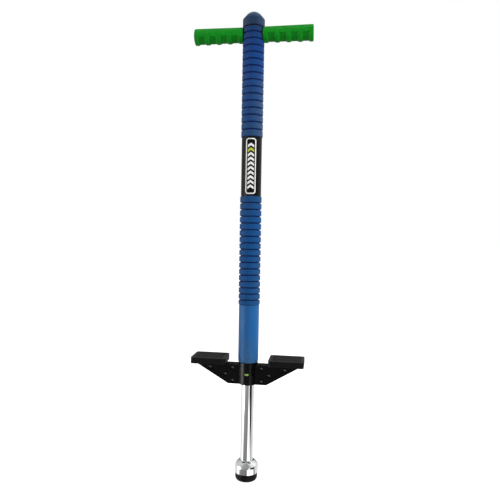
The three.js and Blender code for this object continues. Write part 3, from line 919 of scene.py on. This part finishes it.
def tread(side):
    """A lid over the platform, with a skirt all round and grooves along its top."""
    box = Box("tread_right")
    wall, corner, edge = 3, 5, 2.8
    half, far = box.y1, box.x1 + OVERSHOOT
    outer = rectangle(box.x0, box.x1, -half, half, corner)
    lid = prism(mirrored(outer, side), box.z0 - edge, box.z1, axis="Z", edge=edge)
    inner = rectangle(box.x0 + wall, box.x1 - wall, wall - half, half - wall)
    cutters = [prism(mirrored(inner, side), box.z0 - 2 * edge, PLATFORM_Z[1] + 0.3, axis="Z"),
               block(-far, far, -far, far, box.z0 - 2 * edge, box.z0)]
    count, pitch, width, depth, margin = 9, 5.4, 2.4, 0.7, 6
    middle = side * (box.x0 + box.x1) / 2
    for i in range(count):
        y = (i - (count - 1) / 2) * pitch
        groove = capsule(box.x1 - box.x0 - 2 * margin, width, 0, (middle, y))
        cutters.append(prism(groove, box.z1 - depth, box.z1 + 1, axis="Z"))
    return cut(lid, *cutters)


def pan_head_screw():
    """A screw along Y at the origin, its cross-recessed head at the front."""
    box = Box("footrest_screw_right_1")
    head_r = (box.x1 - box.x0) / 2
    seat = RECESS_DEPTH - 0.1 - WEB_HALF
    shank_r = 2.4
    corners = [(0, box.y0, 0), (head_r - 0.7, box.y0 + 0.2, 1.6), (head_r, seat - 0.6, 0.6),
               (head_r, seat, 0.2), (shank_r, seat, 0.2), (shank_r, box.y1, 0.6), (0, box.y1, 0)]
    screw = lathe(rounded(corners, closed=False), axis="Y", segments=SMALL_SEGMENTS)
    reach, thick = 2.3, 0.5
    depths = box.y0 - 1, box.y0 + DRIVE_DEPTH
    return cut(screw, block(-reach, reach, *depths, -thick, thick),
               block(-thick, thick, *depths, -reach, reach))


def hex_nut():
    box = Box("footrest_nut_right_1")
    bore, chamfer = 2.55, 0.45
    blank = prism(hexagon(NUT_R), box.y0, box.y1)
    corners = [(0, box.y0), (NUT_R - chamfer, box.y0), (NUT_R, box.y0 + 0.35), (NUT_R, box.y1 - 0.35),
               (NUT_R - chamfer, box.y1), (0, box.y1)]
    combine(blank, [lathe(corners, axis="Y")], "INTERSECT")
    return cut(blank, cross_rod(bore, box.y0 - 1, box.y1 + 1))


def make_footrests():
    make_shells()
    screw = pan_head_screw()
    nut = hex_nut()
    for word, side in SIDES:
        show(tread(side), "tread_" + word, TREAD_TOP)
        frame["nodes"]["gusset_" + word].material_slots[0].material = PAINT
        for i, (x, z) in enumerate(SCREW_PLACES, start=1):
            place = shift(side * x, 0, z)
            show(moved_copy(screw, place), f"footrest_screw_{word}_{i}", SCREW_LOOK)
            show(moved_copy(nut, place), f"footrest_nut_{word}_{i}", BLACK_OXIDE)
    bpy.data.objects.remove(screw)
    bpy.data.objects.remove(nut)


# ---- bush, bumper, spring and its seats ------

SPIGOT_R = 8.8  # the spigots that centre the spring


def lower_bush():
    box = Box("lower_bush")
    bore, wall_r = Box("shaft").r + 0.1, TUBE_BORE_R - 0.1
    flange_top = TUBE.z0 - 0.2
    outline = rounded([(bore, box.z0, 0.6), (box.r, box.z0, 0.5), (box.r, flange_top, 0.2),
                       (wall_r, flange_top, 0), (wall_r, box.z1, 0.5), (bore, box.z1, 0.5)])
    return cut(lathe(outline), key_window())


def bush_key():
    """The key's front is curved to lie flush with the hub."""
    box = Box("bush_key")
    key = block(box.x0, box.x1, box.y0, box.y1, box.z0, box.z1, edge=0.45)
    return combine(key, [rod(-box.y0, box.z0 - 1, box.z1 + 1)], "INTERSECT")


def rebound_bumper():
    box = Box("rebound_bumper")
    bore = Box("shaft").r + 0.3
    middle = box.middle_z
    corners = [(bore, box.z0, 0.8), (box.r, box.z0, 1), (box.r, middle - 0.8, 0.6),
               (box.r - 0.5, middle, 0.3), (box.r, middle + 0.8, 0.6), (box.r, box.z1, 1),
               (bore, box.z1, 0.8)]
    return lathe(rounded(corners))


def upper_spring_seat():
    box = Box("upper_spring_seat")
    face = Box("main_spring").z1 + 0.3
    corners = [(0, box.z0, 0), (SPIGOT_R, box.z0, 1.6), (SPIGOT_R, face, 0.3), (box.r, face, 0.6),
               (box.r, box.z1, 0.6), (0, box.z1, 0)]
    return lathe(rounded(corners, closed=False))


def cross_pin(node):
    box = Box(node)
    return cross_rod(box.x1, box.y0, box.y1, z=box.middle_z, edge=0.5)


WIRE_R = 1.9
COIL_R = 11.6
COIL_TURNS = 26
COIL_STEPS = 36  # steps in each turn
WIRE_SIDES = 14


def main_spring():
    """One closed turn at each end, and evenly pitched turns between them."""
    box = Box("main_spring")
    low, high = box.z0 + WIRE_R, box.z1 - WIRE_R
    closed_pitch = 2 * WIRE_R + 0.3
    open_pitch = (high - low - 2 * closed_pitch) / (COIL_TURNS - 2)
    bm = bmesh.new()
    rings = []
    for step in range(COIL_TURNS * COIL_STEPS + 1):
        turns = step / COIL_STEPS
        open_turns = min(max(turns - 1, 0), COIL_TURNS - 2)
        z = low + open_turns * open_pitch + (turns - open_turns) * closed_pitch
        angle = 2 * math.pi * turns
        out = Vector((math.cos(angle), math.sin(angle), 0))
        ring = []
        for side in range(WIRE_SIDES):
            around = 2 * math.pi * side / WIRE_SIDES
            point = out * (COIL_R + WIRE_R * math.cos(around))
            point.z = z + WIRE_R * math.sin(around)
            ring.append(bm.verts.new(point * MM))
        rings.append(ring)
    bridge(bm, rings)
    bm.faces.new(rings[0])
    bm.faces.new(rings[-1])
    return to_object(bm)


def thrust_washer():
    box = Box("thrust_washer")
    bore, face = 4, box.z0 + 3.1
    corners = [(bore, box.z0, 0.4), (box.r, box.z0, 0.5), (box.r, face, 0.5), (SPIGOT_R, face, 0.3),
               (SPIGOT_R, box.z1, 1.4), (bore, box.z1, 0.4)]
    return lathe(rounded(corners))


def make_mechanism():
    show(lower_bush(), "lower_bush", BUSH)
    show(bush_key(), "bush_key", KEY_LOOK)
    show(rebound_bumper(), "rebound_bumper", BUMPER_RUBBER)
    show(upper_spring_seat(), "upper_spring_seat", NYLON)
    show(cross_pin("spring_stop_pin"), "spring_stop_pin", ZINC)
    show(thrust_washer(), "thrust_washer", NYLON)
    spring = show(main_spring(), "main_spring", SPRING_STEEL)
    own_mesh(spring)


# ---- plunger ---------------------------------

def pin_hole(reach):
    box = Box("piston_pin")
    return cross_rod(box.x1 + 0.1, -reach, reach, z=box.middle_z)


def piston():
    """The guide collar at the top of the shaft, with two grease grooves."""
    box = Box("piston")
    shaft = Box("shaft")
    bore, ceiling = shaft.r + 0.1, shaft.z1 + 0.3
    corners = [(0, ceiling, 0), (bore, ceiling, 0.3), (bore, box.z0, 0.3), (box.r, box.z0, 0.6)]
    for z in (box.z0 + 6, box.z0 + 24):
        corners += [(box.r, z - 1, 0.2), (box.r - 0.5, z - 0.6, 0.2), (box.r - 0.5, z + 0.6, 0.2),
                    (box.r, z + 1, 0.2)]
    corners += [(box.r, box.z1, 0.8), (0, box.z1, 0)]
    return cut(lathe(rounded(corners, closed=False)), pin_hole(box.r + OVERSHOOT))


def foot_cup():
    """A pressed and chromed cup: a straight band, and a domed shoulder that ends in the collar."""
    box = Box("foot_cup")
    collar = Box("shaft").r + 0.1
    lip = collar + 1.1
    wall, band_top, ceiling = 1.75, box.z0 + 11.6, box.z0 + 13.1
    outline = rounded([(collar, ceiling, 0), (box.r - wall, ceiling, 1), (box.r - wall, box.z0, 0.5),
                       (box.r, box.z0, 0.7), (box.r, band_top, 0)], closed=False)
    lip_angle = math.acos(lip / box.r)
    dome_rise = (box.z1 - band_top) / math.sin(lip_angle)
    outline += dome(box.r, dome_rise, band_top, 0, lip_angle, steps=18)
    return lathe(outline + [(collar, box.z1)])


def rubber_tip():
    """The foot's rubber: a plug inside the cup, a bead under its rim and a grooved sole."""
    box = Box("rubber_tip")
    rim = Box("foot_cup").z0 - 0.3
    sole_r, plug_r, hole_r = 18.6, box.r - 0.8, 3.3
    recess_r, recess_top = 10.6, 10.4
    corners = [(recess_r, 0, 0.8), (sole_r, 0, 1), (sole_r + 2.3, 1.6, 2), (box.r - 0.3, 4.8, 3),
               (box.r - 0.1, 8, 0.4), (box.r - 0.7, 8.7, 0.3), (box.r - 0.7, 9.7, 0.3),
               (box.r, 10.4, 0.4), (box.r, rim, 0.6), (plug_r, rim, 0.3), (plug_r, box.z1, 0.6),
               (hole_r, box.z1, 0.3), (hole_r, recess_top, 0), (recess_r, recess_top, 0.6)]
    depth, groove_half, count = 1.3, 0.8, 16
    middle_r = (recess_r + sole_r) / 2
    cutters = [tube(middle_r + groove_half, middle_r - groove_half, -1, depth, 0)]
    for i in range(count):
        slot = block(middle_r - 0.5, box.r + 1, -groove_half, groove_half, -1, depth)
        slot.data.transform(turn_z(2 * math.pi * i / count))
        cutters.append(slot)
    return cut(lathe(rounded(corners)), *cutters)


def tip_screw():
    """A socket screw, its head up inside the sole."""
    box = Box("tip_screw")
    head_r, head_top, shank_r, socket_r, socket_depth = 5.2, 8.3, 2.9, 2.6, 2.2
    corners = [(0, box.z0, 0), (head_r, box.z0, 0.7), (head_r, head_top, 0.2), (shank_r, head_top, 0.2),
               (shank_r, box.z1, 0.8), (0, box.z1, 0)]
    socket = prism(hexagon(socket_r), box.z0 - 1, box.z0 + socket_depth, axis="Z")
    return cut(lathe(rounded(corners, closed=False), segments=48), socket)


def make_plunger():
    shaft_r, shaft_wall = Box("shaft").r, 1.6
    plug_hole_r, washer_hole_r = 3.1, 3.3
    shaft = tube_of("shaft", shaft_r - shaft_wall, 0.5)
    show(cut(shaft, pin_hole(shaft_r + OVERSHOOT)), "shaft", CHROME)
    show(piston(), "piston", NYLON)
    show(cross_pin("piston_pin"), "piston_pin", ZINC)
    show(tube_of("shaft_plug", plug_hole_r, 0.5), "shaft_plug", ZINC)
    show(foot_cup(), "foot_cup", CHROME)
    show(rubber_tip(), "rubber_tip", RUBBER)
    show(tube_of("tip_washer", washer_hole_r, 0.3), "tip_washer", ZINC)
    show(tip_screw(), "tip_screw", ZINC)


# ---- camera, floor and light -----------------

EYE = Vector((0.1435, -0.9961, 0.4837))
EYE_TURN = 8.2  # degrees round the stick, to its right
EYE_PITCH = 1.15  # degrees below the horizon
EYE_ROLL = 0.985  # degrees, so that the stick leans to the right


def make_camera():
    camera = bpy.data.cameras.new("camera")
    camera.lens = 36
    camera.sensor_width = 36
    obj = placed("camera", camera)
    pitch = Matrix.Rotation(math.radians(90 - EYE_PITCH), 4, "X")
    turns = turn_z(math.radians(EYE_TURN)) @ pitch @ turn_z(math.radians(EYE_ROLL))
    obj.matrix_world = Matrix.Translation(EYE) @ turns
    bpy.context.scene.camera = obj


FLOOR_R = 40000
FLOOR_TOP = -0.2  # just below the sole
FLOOR_GLOW = 0.7


def make_floor():
    """A wide pale floor that neither the polished parts nor the undersides pick up."""
    floor = rod(FLOOR_R, FLOOR_TOP - 0.8, FLOOR_TOP, segments=96)
    floor.name = "floor"
    look = Look("pale_floor", (0.9, 0.9, 0.9, 1), 0.9, specular=0.0,
                Emission_Color=(1, 1, 1, 1), Emission_Strength=FLOOR_GLOW)
    floor.data.materials.append(look.material)
    floor.visible_glossy = False
    floor.visible_diffuse = False


# The studio round the stick, as bands of (degrees from the front towards the right, brightness)
GROUND_BANDS = [(-180, 0.9), (-110, 0.8), (-96, 0.75), (-90, 1.4), (-70, 1.4), (-60, 0.26), (-30, 0.2),
                (0, 0.24), (6, 0.05), (12, 0.05), (16, 1.6), (80, 1.6), (86, 0.14), (94, 0.14), (102, 0.75),
                (150, 0.85), (180, 0.9)]
SKIRTING_BANDS = [(-180, 0.9), (-110, 0.85), (-92, 0.72), (-84, 1.5), (-55, 1.5), (-47, 0.33), (-25, 0.3),
                  (-5, 0.26), (23, 0.26), (27, 1.5), (53, 1.5), (57, 0.015), (87, 0.015), (93, 0.7),
                  (125, 0.78), (180, 0.9)]
WALL_BANDS = [(-180, 0.5), (-150, 0.6), (-140, 0.85), (-100, 0.74), (-82, 0.8), (-78, 5), (-50, 5),
              (-42, 0.36), (-25, 0.4), (-5, 0.26), (29, 0.3), (33, 1.4), (41, 1.4), (43, 0.015),
              (89, 0.015), (93, 0.66), (125, 0.72), (140, 0.9), (150, 0.6), (180, 0.5)]
SKY_BANDS = [(-180, 0.02), (-168, 0.02), (-155, 0.35), (-110, 0.62), (-60, 0.65), (-30, 0.38),
             (30, 0.3), (70, 0.85), (110, 1.05), (150, 0.7), (168, 0.02), (180, 0.02)]
# The sets of bands above the ground, and the degrees above the horizon between which each one fades in
LAYERS = [(SKIRTING_BANDS, -25.5, -20.5), (WALL_BANDS, -19.6, -17.4), (SKY_BANDS, 5, 11)]
FLOOR_FROM = math.sin(math.radians(-30))
FLOOR_LEVEL = 0.3  # brightness straight below, as a share
PEAK = 5  # the brightest band
WHITE = (1, 1, 1, 1)


def band_ramp(tree, bands, share):
    """The colours of a set of bands, by the share of a full turn."""
    ramp = tree.add("ValToRGB", Fac=share)
    stops = ramp.color_ramp.elements
    while len(stops) < len(bands):
        stops.new(0.5)
    for stop, (angle, level) in zip(stops, bands):
        stop.position = (angle + 180) / 360
        stop.color = times(WHITE, level / PEAK)
    return ramp.outputs["Color"]


def make_world():
    """Bands of light and shade round the stick, seen in the chrome, before a white backdrop."""
    world = bpy.data.worlds.new("studio")
    bpy.context.scene.world = world
    tree = Nodes(world)
    tree.nodes.clear()
    way = tree.add("TexCoord").outputs["Generated"]
    height = tree.part(way, "Z")
    to_front = tree.calculate("Math", "MULTIPLY", tree.part(way, "Y"), -1)["Value"]
    bearing = tree.calculate("Math", "ARCTAN2", tree.part(way, "X"), to_front)["Value"]
    share = tree.ranged(bearing, -math.pi, math.pi)
    colour = band_ramp(tree, GROUND_BANDS, share)
    for bands, *ends in LAYERS:
        low, high = (math.sin(math.radians(angle)) for angle in ends)
        colour = tree.mixed(tree.ranged(height, low, high), colour, band_ramp(tree, bands, share))
    strength = tree.ranged(height, FLOOR_FROM, -1, PEAK, PEAK * FLOOR_LEVEL)
    studio = tree.add("Background", Color=colour, Strength=strength)
    backdrop = tree.add("Background", Color=WHITE, Strength=1.0)
    mix = tree.add("MixShader", Fac=tree.add("LightPath").outputs["Is Camera Ray"])
    tree.feed(mix.inputs[1], studio.outputs[0])
    tree.feed(mix.inputs[2], backdrop.outputs[0])
    tree.add("OutputWorld", Surface=mix.outputs[0])


# Soft boxes: name, place and target in metres, width, height, power in watts
SOFT_BOXES = [
    ("front_left", (-1.6, -2.0, 0.9), (0, 0, 0.45), 1.2, 1.6, 8),
    ("right", (2.1, -0.8, 0.8), (0, 0, 0.5), 1.0, 1.6, 34),
    ("overhead", (0, -0.3, 2.4), (0, 0, 0.4), 1.4, 1.4, 12),
]


def make_lights():
    for name, place, target, width, height, power in SOFT_BOXES:
        light = bpy.data.lights.new(name, "AREA")
        light.shape = "RECTANGLE"
        light.size = width
        light.size_y = height
        light.energy = power
        obj = placed(name, light)
        obj.location = place
        obj.rotation_euler = (Vector(target) - Vector(place)).to_track_quat("-Z", "Y").to_euler()
        obj.visible_glossy = False


make_camera()
make_floor()
make_world()
make_lights()
bpy.context.scene.view_settings.view_transform = "Standard"
make_handlebar()
make_sleeves()
make_print()
make_footrests()
make_mechanism()
make_plunger()
